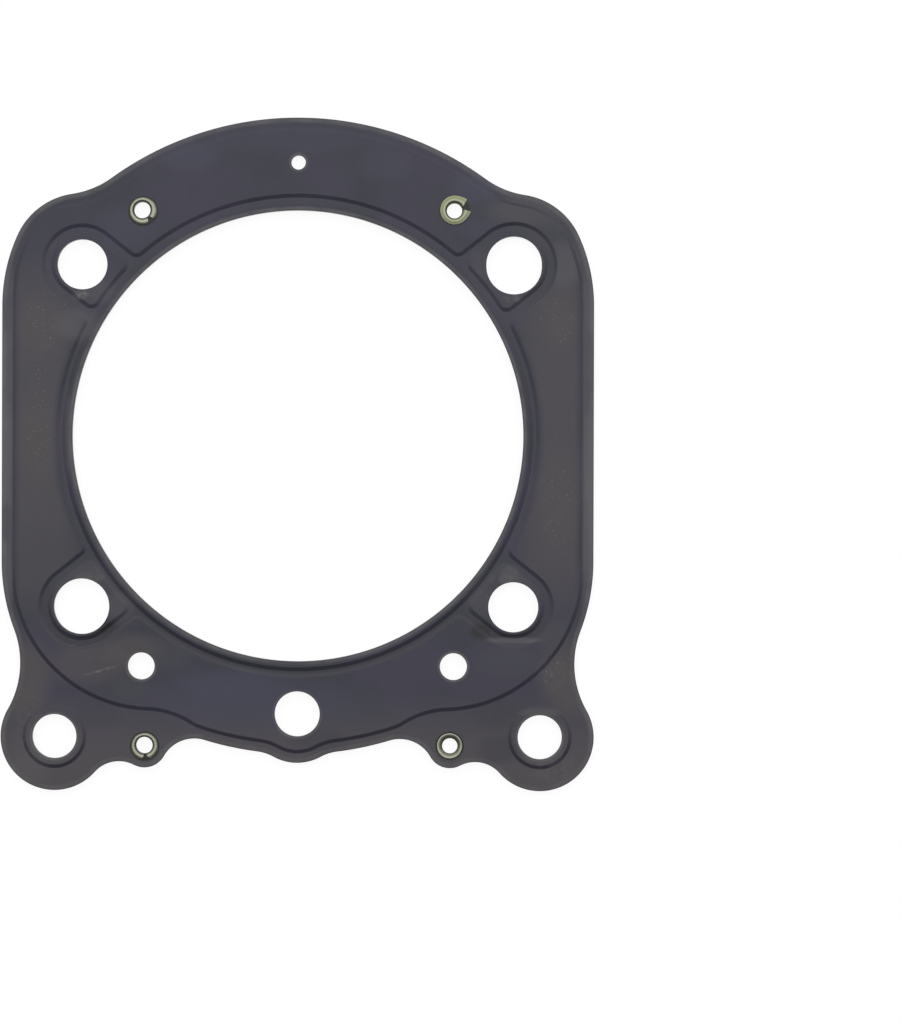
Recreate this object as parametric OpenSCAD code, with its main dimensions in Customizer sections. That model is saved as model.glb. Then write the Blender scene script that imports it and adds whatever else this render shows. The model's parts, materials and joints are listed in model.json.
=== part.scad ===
// Cylinder head gasket: two embossed steel layers with a plain spacer between them,
// held together by four eyelets. Millimetres.
// The origin is on the axis of the fire opening, in the plane of the underside.
// +Z points to the head and +Y to the rounded edge, away from the two ears.

/* [Fire opening] */
// Diameter of the fire opening
opening_d = 100; // [98:0.5:101]
// Flat rim between the fire opening and its bead
opening_rim_w = 1.3; // [1:0.1:1.6]
// Band of metal from the fire opening to the rounded edge
band_w = 20.55; // [19.5:0.05:22]

/* [Layers] */
// Thickness of each embossed layer
layer_t = 0.25; // [0.2:0.05:0.35]
// Thickness of the plain spacer layer
spacer_t = 0.5; // [0.3:0.1:0.9]

/* [Beads] */
// Height of every bead above its flat
bead_h = 0.25; // [0.15:0.05:0.35]
// Width of a full bead from foot to foot
bead_w = 2.4; // [2:0.1:2.8]
// Width of the flat along the middle of a full bead
bead_flat_w = 0.5; // [0.3:0.05:0.8]
// Radius where two beads run into each other
bead_corner_r = 1.2; // [0.8:0.1:1.6]
// Distance of the stepped bead from the outer edge
step_inset = 2.5; // [2.2:0.1:3]

/* [Stud holes] */
// Distance between the stud holes across the gasket
stud_span_x = 95.7; // [95:0.1:96.4]
// Distance between the stud holes along the gasket
stud_span_y = 75.8; // [75:0.1:76.6]
// Diameter of the two plain stud holes
stud_hole_d = 11.1; // [10.4:0.1:12]
// Diameter of the two stud holes that also take a locating sleeve
sleeve_hole_d = 12.3; // [12:0.1:12.8]
// Extra length of the upper right sleeve hole, along the gasket
sleeve_slot = 0.55; // [0.1:0.05:1]
// Flat rim between a stud hole and the bead round it
stud_rim_w = 0.45; // [0.3:0.05:0.8]
// Width of the full bead round a stud hole
stud_bead_w = 3.1; // [2.6:0.1:3.4]

/* [Ears] */
// Diameter of the hole in each ear
ear_hole_d = 9.8; // [9:0.1:10.6]
// Distance between the ear holes
ear_span_x = 107.6; // [106.6:0.1:108.6]
// Distance of the ear holes from the axis of the fire opening
ear_y = 66.7; // [66:0.1:67.4]
// Metal round each ear hole
ear_wall_w = 7.05; // [6.5:0.05:7.6]
// Flat rim between an ear hole and its bead
ear_rim_w = 1.3; // [0.9:0.1:1.6]

/* [Oil and water holes] */
// Diameter of the two oil holes
oil_hole_d = 6; // [5:0.1:7]
// Distance between the oil holes
oil_span_x = 69.2; // [68:0.1:70.4]
// Distance of the oil holes from the axis of the fire opening
oil_y = 51.1; // [50.5:0.1:52]
// Diameter of the round hole between the ears
centre_hole_d = 10; // [9:0.1:11]
// Distance of that hole from the axis of the fire opening
centre_y = 61.65; // [61:0.05:62.3]
// Diameter of the small hole at the rounded edge
vent_hole_d = 3.2; // [2.6:0.1:4]
// Distance of the small hole from the axis of the fire opening
vent_y = 60.6; // [59.6:0.1:61.6]

/* [Outer edge] */
// Overall width across the two straight sides
overall_w = 131.2; // [130.6:0.1:131.8]
// Metal from the middle of a stud hole to the edge of the shoulder
shoulder_r = 15.8; // [15.2:0.1:16.4]
// Radius of the hollow between the rounded edge and a shoulder
neck_r = 20; // [15:0.5:26]
// Radius of the long bend from a shoulder into the side
haunch_r = 37.6; // [36.5:0.1:40]
// Radius of the bend where a side starts to draw in
hip_r = 43; // [36:0.5:50]
// Distance of that bend's centre from the axis of the fire opening
hip_y = 27.8; // [26:0.1:29.5]
// Radius of the waist above an ear
waist_r = 20.8; // [18:0.1:23]
// Radius of the hollow between an ear and the lobe of its eyelet
crotch_r = 7.3; // [6:0.1:9]
// Metal from the middle of a lower eyelet to the edge of its lobe
lobe_r = 4.95; // [4.6:0.05:5.4]
// Radius of the hollow between that lobe and the lower edge
hollow_r = 7.8; // [6.5:0.1:9]
// Metal from the middle of the centre hole to the edge
centre_lobe_r = 10.85; // [10.6:0.05:11.4]
// Radius of the hollow beside the centre lobe
centre_hollow_r = 10.2; // [7:0.1:14]

/* [Stepped bead inside the ears] */
// Radius of the stepped bead as it turns inside an ear
turn_r = 31; // [29.5:0.1:32]
// Distance of that turn's centre from the axis of the fire opening
turn_y = 29.6; // [28.8:0.1:30.4]
// Radius of its hollow over a lower eyelet
over_eyelet_r = 19.2; // [16:0.1:22]
// Radius where it swings back to the lower edge
swing_r = 10.2; // [8:0.1:12]

/* [Eyelets] */
// Distance between the upper eyelets
upper_eyelet_span = 69.2; // [68:0.1:70.4]
// Distance of the upper eyelets from the axis of the fire opening
upper_eyelet_y = 49.95; // [49.2:0.05:50.7]
// Distance between the lower eyelets
lower_eyelet_span = 67.7; // [66.7:0.1:68.7]
// Distance of the lower eyelets from the axis of the fire opening
lower_eyelet_y = 68.65; // [68:0.05:69.3]
// Wall of an eyelet
eyelet_wall = 0.2; // [0.15:0.01:0.25]
// Gap between an eyelet and the hole it passes through
eyelet_gap = 0.05; // [0.03:0.01:0.1]
// Diameter of the formed head under each eyelet
head_d = 5.8; // [5.4:0.1:6.2]
// Height of a formed head or a rolled rim
rim_h = 0.42; // [0.38:0.01:0.55]
// Rounding on the shoulders of a head or a rolled rim
rim_round = 0.32; // [0.28:0.01:0.36]
// Bore of the eyelets on the left side
left_bore_d = 3.65; // [3.4:0.05:3.8]
// Bore of the eyelets on the right side
right_bore_d = 3.4; // [3.2:0.05:3.8]
// Rolled rim of the upper left eyelet
upper_left_rim_d = 6.15; // [5.7:0.05:6.5]
// Rolled rim of the upper right eyelet
upper_right_rim_d = 6.65; // [6:0.05:6.8]
// Rolled rim of the lower left eyelet
lower_left_rim_d = 6; // [5.7:0.05:6.4]
// Rolled rim of the lower right eyelet
lower_right_rim_d = 5.7; // [5.5:0.05:6.3]
// Opening angle of the split in the upper left rim
upper_left_split = 88; // [40:1:95]
// Opening angle of the split in the upper right rim
upper_right_split = 80; // [40:1:95]
// Opening angle of the split in the lower left rim
lower_left_split = 66; // [30:1:95]

/* [Hidden] */

// Longest distance of a straight facet from the true curve
curve_tol = 0.04;
// Points nearer than this are one point
same_point = 0.001;
$fn = 96;

layer_colour = "#4d4b55";
spacer_colour = "#8d8f93";
eyelet_colour = "#a3a27b";

axis = [0, 0];
opening_r = opening_d / 2;
edge_r = opening_r + band_w;
side_x = overall_w / 2;

// Flank of a bead seen from above, and the two levels of an embossed layer
flank_w = (bead_w - bead_flat_w) / 2;
crest_z = 0;
field_z = bead_h;

// Heights of the stack, from the underside
spacer_z = layer_t + bead_h;
upper_z = spacer_z + spacer_t;
top_z = upper_z + bead_h + layer_t;

// Studs anticlockwise from the upper right, as [angle round the fire opening, hole diameter, slot length]
stud_reach = norm([stud_span_x, stud_span_y]) / 2;
stud_angle = atan2(stud_span_y, stud_span_x);
studs = [[stud_angle, sleeve_hole_d, sleeve_slot], [180 - stud_angle, stud_hole_d, 0],
         [180 + stud_angle, sleeve_hole_d, 0], [360 - stud_angle, stud_hole_d, 0]];
ear = [-ear_span_x / 2, -ear_y];
ear_r = ear_hole_d / 2 + ear_wall_w;
ear_rim_r = ear_hole_d / 2 + ear_rim_w;
shoulder = [-stud_span_x, stud_span_y] / 2;
centre_hole = [0, -centre_y];
lobe = [-lower_eyelet_span / 2, -lower_eyelet_y];

function polar(r, a) = [r * cos(a), r * sin(a)];

// Direction from point a to point b
function facing(a, b) = atan2(b.y - a.y, b.x - a.x);

// Point at distance ra from a and rb from b, left of the way from a to b, or right with side -1
function meet(a, ra, b, rb, side = 1) =
    let (way = b - a, d = norm(way), along = (ra ^ 2 - rb ^ 2 + d ^ 2) / (2 * d))
    a + (way * along + [-way.y, way.x] * side * sqrt(ra ^ 2 - along ^ 2)) / d;

// A path is a list of arcs [centre, radius, turn, start, end], run anticlockwise round the part.
// turn is 1 where the edge bulges outward and -1 where it is hollow.
// Straight stretches lie between the end of one arc and the start of the next.
function full_turn(a) = a - 360 * floor(a / 360);
function sweep(arc) = arc[2] > 0 ? full_turn(arc[4] - arc[3]) : -full_turn(arc[3] - arc[4]);
function arc_steps(arc) = max(1, ceil(abs(sweep(arc)) / (2 * acos(1 - curve_tol / arc[1]))));
function arc_points(arc, grow) =
    let (steps = arc_steps(arc))
    [for (i = [0:steps]) arc[0] + polar(arc[1] + arc[2] * grow, arc[3] + sweep(arc) * i / steps)];

// Points of a closed path, moved outward by grow
function path_points(path, grow = 0) =
    let (plain = [for (arc = path) each arc_points(arc, 0)],
         moved = [for (arc = path) each arc_points(arc, grow)],
         n = len(plain))
    [for (i = [0:n - 1]) if (norm(plain[i] - plain[(i + 1) % n]) > same_point) moved[i]];

function mirrored(path) =
    [for (i = [len(path) - 1:-1:0]) let (arc = path[i])
        [[-arc[0].x, arc[0].y], arc[1], arc[2], 180 - arc[4], 180 - arc[3]]];

function turned(path, angle) =
    [for (arc = path)
        [polar(norm(arc[0]), facing(axis, arc[0]) + angle), arc[1], arc[2], arc[3] + angle, arc[4] + angle]];

// Circles that shape the left half of the outer edge, from the rounded edge down to the centre lobe
neck = meet(axis, edge_r + neck_r, shoulder, shoulder_r + neck_r, -1);
haunch_x = haunch_r - side_x;
haunch = [haunch_x, shoulder.y - sqrt((haunch_r - shoulder_r) ^ 2 - (shoulder.x - haunch_x) ^ 2)];
hip = [hip_r - side_x, -hip_y];
waist = meet(hip, hip_r + waist_r, ear, ear_r + waist_r, -1);
crotch = meet(ear, ear_r + crotch_r, lobe, lobe_r + crotch_r, -1);
hollow = meet(lobe, lobe_r + hollow_r, axis, edge_r + hollow_r, -1);
centre_hollow = meet(axis, edge_r + centre_hollow_r, centre_hole, centre_lobe_r + centre_hollow_r, -1);

function upper_edge(inset) = [
    [axis, edge_r - inset, 1, 90, facing(axis, neck)],
    [neck, neck_r + inset, -1, facing(neck, axis), facing(neck, shoulder)],
    [shoulder, shoulder_r - inset, 1, facing(shoulder, neck), facing(haunch, shoulder)],
    [haunch, haunch_r - inset, 1, facing(haunch, shoulder), 180]
];

ear_edge = [
    [hip, hip_r, 1, 180, facing(hip, waist)],
    [waist, waist_r, -1, facing(waist, hip), facing(waist, ear)],
    [ear, ear_r, 1, facing(ear, waist), facing(ear, crotch)],
    [crotch, crotch_r, -1, facing(crotch, ear), facing(crotch, lobe)],
    [lobe, lobe_r, 1, facing(lobe, crotch), facing(lobe, hollow)],
    [hollow, hollow_r, -1, facing(hollow, lobe), facing(hollow, axis)]
];

function lower_edge(inset, from) = [
    [axis, edge_r - inset, 1, from, facing(axis, centre_hollow)],
    [centre_hollow, centre_hollow_r + inset, -1, facing(centre_hollow, axis),
        facing(centre_hollow, centre_hole)],
    [centre_hole, centre_lobe_r - inset, 1, facing(centre_hole, centre_hollow), 270]
];

// Circles that carry the stepped bead past the ears
step_edge_r = edge_r - step_inset;
turn = [turn_r + step_inset - side_x, -turn_y];
over_eyelet = [lobe.x, turn.y - sqrt((turn_r + over_eyelet_r) ^ 2 - (lobe.x - turn.x) ^ 2)];
swing = meet(over_eyelet, over_eyelet_r + swing_r, axis, step_edge_r - swing_r, -1);

inner_turn = [
    [turn, turn_r, 1, 180, facing(turn, over_eyelet)],
    [over_eyelet, over_eyelet_r, -1, facing(over_eyelet, turn), facing(over_eyelet, swing)],
    [swing, swing_r, 1, facing(swing, over_eyelet), facing(axis, swing)]
];

left_edge = concat(upper_edge(0), ear_edge, lower_edge(0, facing(axis, hollow)));
left_step = concat(upper_edge(step_inset), inner_turn, lower_edge(step_inset, facing(axis, swing)));
edge_path = concat(left_edge, mirrored(left_edge));
step_path = concat(left_step, mirrored(left_step));

// Beads round the fire opening and the studs. A stud's part is laid out on the +X axis
// and then turned to the stud.
opening_bead_r = opening_r + opening_rim_w + bead_w;
function pad_r(stud) = stud[1] / 2 + stud_rim_w;
function ring_r(stud) = pad_r(stud) + stud_bead_w;

// Corner circle between a leg at height y and the bead of the fire opening
function corner(y) = [sqrt((opening_bead_r + bead_corner_r) ^ 2 - y ^ 2), y];
function ring_corner(stud) = corner(ring_r(stud) + bead_corner_r);

// Flat round a stud hole that reaches to the bead of the fire opening
function pad_path(stud) =
    let (high = corner(pad_r(stud) - bead_corner_r), low = [high.x, -high.y])
    turned([
        [[stud_reach, 0], pad_r(stud), 1, -90, 90],
        [high, bead_corner_r, 1, 90, facing(high, axis)],
        [axis, opening_bead_r, -1, facing(axis, high), facing(axis, low)],
        [low, bead_corner_r, 1, facing(low, axis), -90]
    ], stud[0]);

// Outer foot of the beads, round each stud and then along the fire opening to the next
function ring_part(stud) =
    let (high = ring_corner(stud), low = [high.x, -high.y])
    turned([
        [low, bead_corner_r, -1, facing(low, axis), 90],
        [[stud_reach, 0], ring_r(stud), 1, -90, 90],
        [high, bead_corner_r, -1, -90, facing(high, axis)]
    ], stud[0]);
function ring_link(stud, next) =
    [axis, opening_bead_r, 1, stud[0] + facing(axis, ring_corner(stud)),
     next[0] - facing(axis, ring_corner(next))];
ring_path = [for (i = [0:3]) each concat(ring_part(studs[i]), [ring_link(studs[i], studs[(i + 1) % 4])])];

// Eyelets: place, face it grips below and above, bore, rolled rim, split direction and opening
grip_field = [0, top_z];
grip_edge = [bead_h, top_z - bead_h];
upper_place = [upper_eyelet_span / 2, upper_eyelet_y];
eyelets = [
    [[-upper_place.x, upper_place.y], grip_field, left_bore_d, upper_left_rim_d, -45, upper_left_split],
    [upper_place, grip_field, right_bore_d, upper_right_rim_d, 15, upper_right_split],
    [lobe, grip_edge, left_bore_d, lower_left_rim_d, -80, lower_left_split],
    [[-lobe.x, lobe.y], grip_edge, right_bore_d, lower_right_rim_d, 0, 0]
];

module hole(place, d) {
    translate(place) circle(d = d);
}

module both_sides() {
    children();
    mirror([1, 0]) children();
}

// The long hole lets the second sleeve find its place once the round one has set the first
module stud_holes() {
    for (stud = studs) translate(polar(stud_reach, stud[0])) {
        for (end = [0, 1]) hole([0, (end - 0.5) * stud[2]], stud[1]);
        if (stud[2] > 0) square([stud[1], stud[2]], center = true);
    }
}

module eyelet_holes() {
    for (e = eyelets) hole(e[0], e[2] + 2 * (eyelet_wall + eyelet_gap));
}

module passage_holes() {
    both_sides() hole([oil_span_x / 2, -oil_y], oil_hole_d);
    hole(centre_hole, centre_hole_d);
    hole([0, vent_y], vent_hole_d);
}

// Flat stretch of an embossed layer with its underside at z
module flat(z) {
    translate([0, 0, z]) linear_extrude(layer_t) children();
}

// Sloping flank along a path, from its inner to its outer side
module flank(path, inner, inner_z, outer, outer_z) {
    a = path_points(path, inner);
    b = path_points(path, outer);
    n = len(a);
    points = concat([for (p = a) [p.x, p.y, inner_z]], [for (p = b) [p.x, p.y, outer_z]],
                    [for (p = b) [p.x, p.y, outer_z + layer_t]], [for (p = a) [p.x, p.y, inner_z + layer_t]]);
    faces = [for (side = [0:3], i = [0:n - 1])
        let (j = (i + 1) % n, next = (side + 1) % 4)
        [side * n + i, next * n + i, next * n + j, side * n + j]];
    polyhedron(points, faces);
}

// Sloping flank round a hole
module round_flank(inner_r, inner_z, outer_z) {
    outer_r = inner_r + flank_w;
    rotate_extrude()
        polygon([[inner_r, inner_z], [outer_r, outer_z],
                 [outer_r, outer_z + layer_t], [inner_r, inner_z + layer_t]]);
}

module opening_rim() {
    flat(field_z) difference() {
        circle(opening_r + opening_rim_w);
        circle(opening_r);
    }
    round_flank(opening_r + opening_rim_w, field_z, crest_z);
}

// Flat middle of the beads round the fire opening and the studs
module bead_crest() {
    flat(crest_z) difference() {
        polygon(path_points(ring_path, -flank_w));
        circle(opening_r + opening_rim_w + flank_w);
        for (stud = studs) polygon(path_points(pad_path(stud), flank_w));
    }
}

module stud_pads() {
    flat(field_z) difference() {
        for (stud = studs) polygon(path_points(pad_path(stud)));
        stud_holes();
    }
    for (stud = studs) flank(pad_path(stud), 0, field_z, flank_w, crest_z);
}

module field() {
    flank(ring_path, -flank_w, crest_z, 0, field_z);
    flat(field_z) difference() {
        polygon(path_points(step_path, -flank_w / 2));
        polygon(path_points(ring_path));
        passage_holes();
        eyelet_holes();
    }
    flank(step_path, -flank_w / 2, field_z, flank_w / 2, crest_z);
}

// Recessed margin outside the stepped bead, with the two ears
module margin() {
    flat(crest_z) difference() {
        polygon(path_points(edge_path));
        polygon(path_points(step_path, flank_w / 2));
        both_sides() hole(ear, 2 * (ear_rim_r + flank_w));
        eyelet_holes();
    }
    for (side = [1, -1]) translate([side * ear.x, ear.y]) {
        flat(field_z) difference() {
            circle(ear_rim_r);
            circle(d = ear_hole_d);
        }
        round_flank(ear_rim_r, field_z, crest_z);
    }
}

// One embossed layer with its bead crests facing down, resting on z = 0
module bead_layer() {
    opening_rim();
    bead_crest();
    stud_pads();
    field();
    margin();
}

module upper_bead_layer() {
    color(layer_colour) translate([0, 0, upper_z]) bead_layer();
}

module lower_bead_layer() {
    color(layer_colour) translate([0, 0, spacer_z]) mirror([0, 0, 1]) bead_layer();
}

module spacer_layer() {
    color(spacer_colour) translate([0, 0, spacer_z]) linear_extrude(spacer_t) difference() {
        polygon(path_points(edge_path));
        circle(opening_r);
        stud_holes();
        passage_holes();
        eyelet_holes();
        both_sides() hole(ear, ear_hole_d);
    }
}

// Half section of a domed rim from x0 to x1, standing on y = 0
module dome(x0, x1, h, round_r) {
    translate([x0, 0]) square([x1 - x0, h - round_r]);
    translate([x0 + round_r, 0]) square([x1 - x0 - 2 * round_r, h]);
    for (x = [x0 + round_r, x1 - round_r]) translate([x, h - round_r]) circle(round_r);
}

// Half section of a thin rim that is rolled over from the bore out to rim_r
module rolled_rim(bore_r, rim_r) {
    difference() {
        dome(bore_r, rim_r, rim_h, rim_round);
        dome(bore_r + eyelet_wall, rim_r - eyelet_wall, rim_h - eyelet_wall, rim_round - eyelet_wall);
        translate([0, -rim_h]) square([rim_r, rim_h]);
    }
}

module eyelet(e) {
    bore_r = e[2] / 2;
    bottom = e[1][0];
    top = e[1][1];
    color(eyelet_colour) translate(e[0]) difference() {
        rotate_extrude() {
            translate([bore_r, bottom]) square([eyelet_wall, top - bottom]);
            translate([0, top]) rolled_rim(bore_r, e[3] / 2);
            translate([0, bottom]) mirror([0, 1]) rolled_rim(bore_r, head_d / 2);
        }
        if (e[5] > 0) translate([0, 0, top]) rim_split(bore_r + eyelet_wall, e[3], e[4], e[5]);
    }
}

// Wedge that opens outward from just outside the barrel
module rim_split(apex_r, reach, direction, opening) {
    rotate(direction) translate([apex_r, 0]) linear_extrude(2 * rim_h)
        polygon([[0, 0], polar(reach, -opening / 2), [reach, 0], polar(reach, opening / 2)]);
}

module eyelet_upper_left() { eyelet(eyelets[0]); }
module eyelet_upper_right() { eyelet(eyelets[1]); }
module eyelet_lower_left() { eyelet(eyelets[2]); }
module eyelet_lower_right() { eyelet(eyelets[3]); }

upper_bead_layer();
spacer_layer();
lower_bead_layer();
eyelet_upper_left();
eyelet_upper_right();
eyelet_lower_left();
eyelet_lower_right();
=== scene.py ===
# %% [markdown]
# # A cylinder head gasket
# The gasket is a stack of three sheet metal layers. The two outer ones are spring steel with a
# rubber coating, and beads are pressed into them. A plain spacer lies between. Four eyelets go
# through the stack and are rolled over, so that it can be handled as one piece.
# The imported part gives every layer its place. Here each one is made again as a finely curved
# pressing, and gets its finish.

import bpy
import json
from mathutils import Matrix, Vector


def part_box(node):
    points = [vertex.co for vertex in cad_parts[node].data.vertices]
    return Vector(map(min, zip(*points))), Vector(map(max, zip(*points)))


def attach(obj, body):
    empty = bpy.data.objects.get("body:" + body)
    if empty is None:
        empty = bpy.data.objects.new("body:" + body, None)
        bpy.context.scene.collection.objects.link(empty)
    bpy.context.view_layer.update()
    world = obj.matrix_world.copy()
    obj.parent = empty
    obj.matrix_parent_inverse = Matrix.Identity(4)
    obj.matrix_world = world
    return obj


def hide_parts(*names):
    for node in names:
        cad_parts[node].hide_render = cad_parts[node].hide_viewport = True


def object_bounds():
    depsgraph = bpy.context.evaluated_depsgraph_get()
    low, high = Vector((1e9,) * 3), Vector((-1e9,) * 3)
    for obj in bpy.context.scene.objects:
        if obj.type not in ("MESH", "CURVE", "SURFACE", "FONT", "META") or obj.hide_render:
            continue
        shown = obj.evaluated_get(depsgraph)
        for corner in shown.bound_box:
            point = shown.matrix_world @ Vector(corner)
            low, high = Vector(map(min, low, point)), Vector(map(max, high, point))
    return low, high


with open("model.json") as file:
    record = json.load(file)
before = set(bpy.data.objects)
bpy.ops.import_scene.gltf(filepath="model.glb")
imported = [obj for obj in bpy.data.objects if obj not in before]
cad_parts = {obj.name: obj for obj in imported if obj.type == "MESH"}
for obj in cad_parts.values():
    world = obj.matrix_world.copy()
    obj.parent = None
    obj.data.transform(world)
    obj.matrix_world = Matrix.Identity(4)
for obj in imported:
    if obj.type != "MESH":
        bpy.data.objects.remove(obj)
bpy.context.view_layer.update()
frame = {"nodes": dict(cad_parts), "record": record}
print("Packed nodes:", sorted(frame["nodes"]))

# %% [markdown]
# ## Sizes
# The holes that the record states are read from it, so that they can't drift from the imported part.
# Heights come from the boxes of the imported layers. The curves of the outer edge and of the beads
# are in no record, so their driving sizes are written here. All of them are in millimetres, and a
# mesh is turned to metres when it is made.

# %% Tools and sizes from the record
import json
from cmath import phase, rect
from collections import namedtuple
from math import acos, ceil, cos, degrees, exp, pi, radians, sin, sqrt

import bmesh
import bpy
import numpy as np
from mathutils import Vector
from mathutils.geometry import delaunay_2d_cdt

MM = 0.001
mounts = {mount["name"]: mount for mount in frame["record"]["mounts"]}


def mount_place(name):
    x, y, _ = mounts[name]["pos_m"]
    return complex(x, y) / MM


def mount_radius(name):
    return mounts[name]["dims"]["r_mm"]


def node_heights(node):
    low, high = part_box(node)
    return low.z / MM, high.z / MM


opening_r = mount_radius("fire_opening")
edge_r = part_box("spacer_layer")[1].y / MM
spacer_z, upper_z = node_heights("spacer_layer")
top_z = node_heights("upper_bead_layer")[1]
print(f"Opening {2 * opening_r:.1f} mm across, stack {top_z:.2f} mm high")

# %% Sizes of the layers
overall_w = 131.2
side_x = overall_w / 2
layer_t = 0.25
bead_h = top_z - upper_z - layer_t
print(f"Sheet {layer_t} mm thick, beads {bead_h:.2f} mm deep")

# %% Places of the holes and the eyelets
upper_eyelet = complex(69.2 / 2, 49.95)
lower_eyelet = complex(67.7 / 2, -68.65)
ear_wall_w = 7.05
Stud = namedtuple("Stud", "place hole_r slot")
axis = 0


def stud_at(name):
    dims = mounts[name]["dims"]
    slot = dims.get("slot_length_mm", 2 * dims["r_mm"]) - 2 * dims["r_mm"]
    return Stud(mount_place(name), dims["r_mm"], slot)


studs = [stud_at(name) for name in ("sleeve_hole_upper_right", "stud_hole_upper_left",
                                    "sleeve_hole_lower_left", "stud_hole_lower_right")]
stud_reach = abs(studs[0].place)
shoulder = studs[1].place

ear_pattern = mounts["ear_holes"]["dims"]
ear_hole_r = ear_pattern["hole_r_mm"]
ear = mount_place("ear_holes") - ear_pattern["spacing_x_mm"] / 2
ear_r = ear_hole_r + ear_wall_w
centre_hole = mount_place("centre_hole")
round_holes = [(mount_place(name), mount_radius(name))
               for name in ("oil_hole_left", "oil_hole_right", "centre_hole", "vent_hole")]


def across(point):
    """The same point on the other side of the gasket."""
    return complex(-point.real, point.imag)


lobe = across(lower_eyelet)
print(f"Ear hole at {ear:.1f}, lower eyelet at {lobe:.2f}")

# %% [markdown]
# ## Outlines made of arcs
# A stamped outline is a chain of arcs that run into each other without a corner. A point of the
# plane is one complex number here, which makes turning it and measuring to it one short operation.
# Each arc knows its centre, radius, start and end. Its turn is 1 where the edge bulges outward and
# -1 where it is hollow. Straight stretches need no entry: they lie between one arc and the next.
# A whole outline moves outward by adding to the radius of every bulge and taking the same from
# every hollow. So one path gives the cut edge, the bead beside it and each line of its flank.

# %% Arcs and paths
curve_tol = 0.002
same_point = 0.001
Arc = namedtuple("Arc", "centre r turn start end")


def polar(r, angle):
    return rect(r, radians(angle))


def facing(a, b):
    """Direction from point a to point b, in degrees."""
    return degrees(phase(b - a))


def meet(a, ra, b, rb, side=-1):
    """Point at distance ra from a and rb from b, left of the way from a to b, or right with side -1."""
    way = b - a
    along = (ra ** 2 - rb ** 2 + abs(way) ** 2) / (2 * abs(way))
    return a + way / abs(way) * complex(along, side * sqrt(ra ** 2 - along ** 2))


def arc_points(arc, grow):
    sweep = (arc.end - arc.start) * arc.turn % 360 * arc.turn
    steps = max(1, ceil(abs(sweep) / (2 * degrees(acos(1 - curve_tol / arc.r)))))
    angles = np.radians(arc.start + sweep * np.linspace(0, 1, steps + 1))
    return arc.centre + (arc.r + arc.turn * grow) * np.exp(1j * angles)


def path_points(path, grow=0):
    """Points of a closed path, moved outward by grow. Their number is the same for every grow."""
    plain = np.concatenate([arc_points(arc, 0) for arc in path])
    moved = np.concatenate([arc_points(arc, grow) for arc in path])
    return moved[abs(plain - np.roll(plain, -1)) > same_point]


def mirrored(path):
    return [Arc(across(arc.centre), arc.r, arc.turn, 180 - arc.end, 180 - arc.start)
            for arc in reversed(path)]


def turned(path, angle):
    return [Arc(arc.centre * polar(1, angle), arc.r, arc.turn, arc.start + angle, arc.end + angle)
            for arc in path]


def circle_path(centre, r):
    return [Arc(centre, r, 1, 0, 180), Arc(centre, r, 1, 180, 0)]


# %% The outer edge
shoulder_r = 15.8
neck_r = 20
haunch_r = 37.6
hip_r = 43
hip_y = 27.8
waist_r = 20.8
crotch_r = 7.3
lobe_r = 4.95
hollow_r = 7.8
centre_lobe_r = 10.85
centre_hollow_r = 10.2
neck = meet(axis, edge_r + neck_r, shoulder, shoulder_r + neck_r)
haunch_x = haunch_r - side_x
haunch_drop = sqrt((haunch_r - shoulder_r) ** 2 - (shoulder.real - haunch_x) ** 2)
haunch = complex(haunch_x, shoulder.imag - haunch_drop)
hip = complex(hip_r - side_x, -hip_y)
waist = meet(hip, hip_r + waist_r, ear, ear_r + waist_r)
crotch = meet(ear, ear_r + crotch_r, lobe, lobe_r + crotch_r)
hollow = meet(lobe, lobe_r + hollow_r, axis, edge_r + hollow_r)
centre_hollow = meet(axis, edge_r + centre_hollow_r, centre_hole, centre_lobe_r + centre_hollow_r)


def upper_edge(inset):
    return [
        Arc(axis, edge_r - inset, 1, 90, facing(axis, neck)),
        Arc(neck, neck_r + inset, -1, facing(neck, axis), facing(neck, shoulder)),
        Arc(shoulder, shoulder_r - inset, 1, facing(shoulder, neck), facing(haunch, shoulder)),
        Arc(haunch, haunch_r - inset, 1, facing(haunch, shoulder), 180),
    ]


ear_edge = [
    Arc(hip, hip_r, 1, 180, facing(hip, waist)),
    Arc(waist, waist_r, -1, facing(waist, hip), facing(waist, ear)),
    Arc(ear, ear_r, 1, facing(ear, waist), facing(ear, crotch)),
    Arc(crotch, crotch_r, -1, facing(crotch, ear), facing(crotch, lobe)),
    Arc(lobe, lobe_r, 1, facing(lobe, crotch), facing(lobe, hollow)),
    Arc(hollow, hollow_r, -1, facing(hollow, lobe), facing(hollow, axis)),
]


def lower_edge(inset, start):
    hollow_end = facing(centre_hollow, centre_hole)
    return [
        Arc(axis, edge_r - inset, 1, start, facing(axis, centre_hollow)),
        Arc(centre_hollow, centre_hollow_r + inset, -1, facing(centre_hollow, axis), hollow_end),
        Arc(centre_hole, centre_lobe_r - inset, 1, facing(centre_hole, centre_hollow), 270),
    ]


left_edge = upper_edge(0) + ear_edge + lower_edge(0, facing(axis, hollow))
edge_path = left_edge + mirrored(left_edge)
print(f"Outer edge: {len(edge_path)} arcs, {len(path_points(edge_path))} points")

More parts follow.
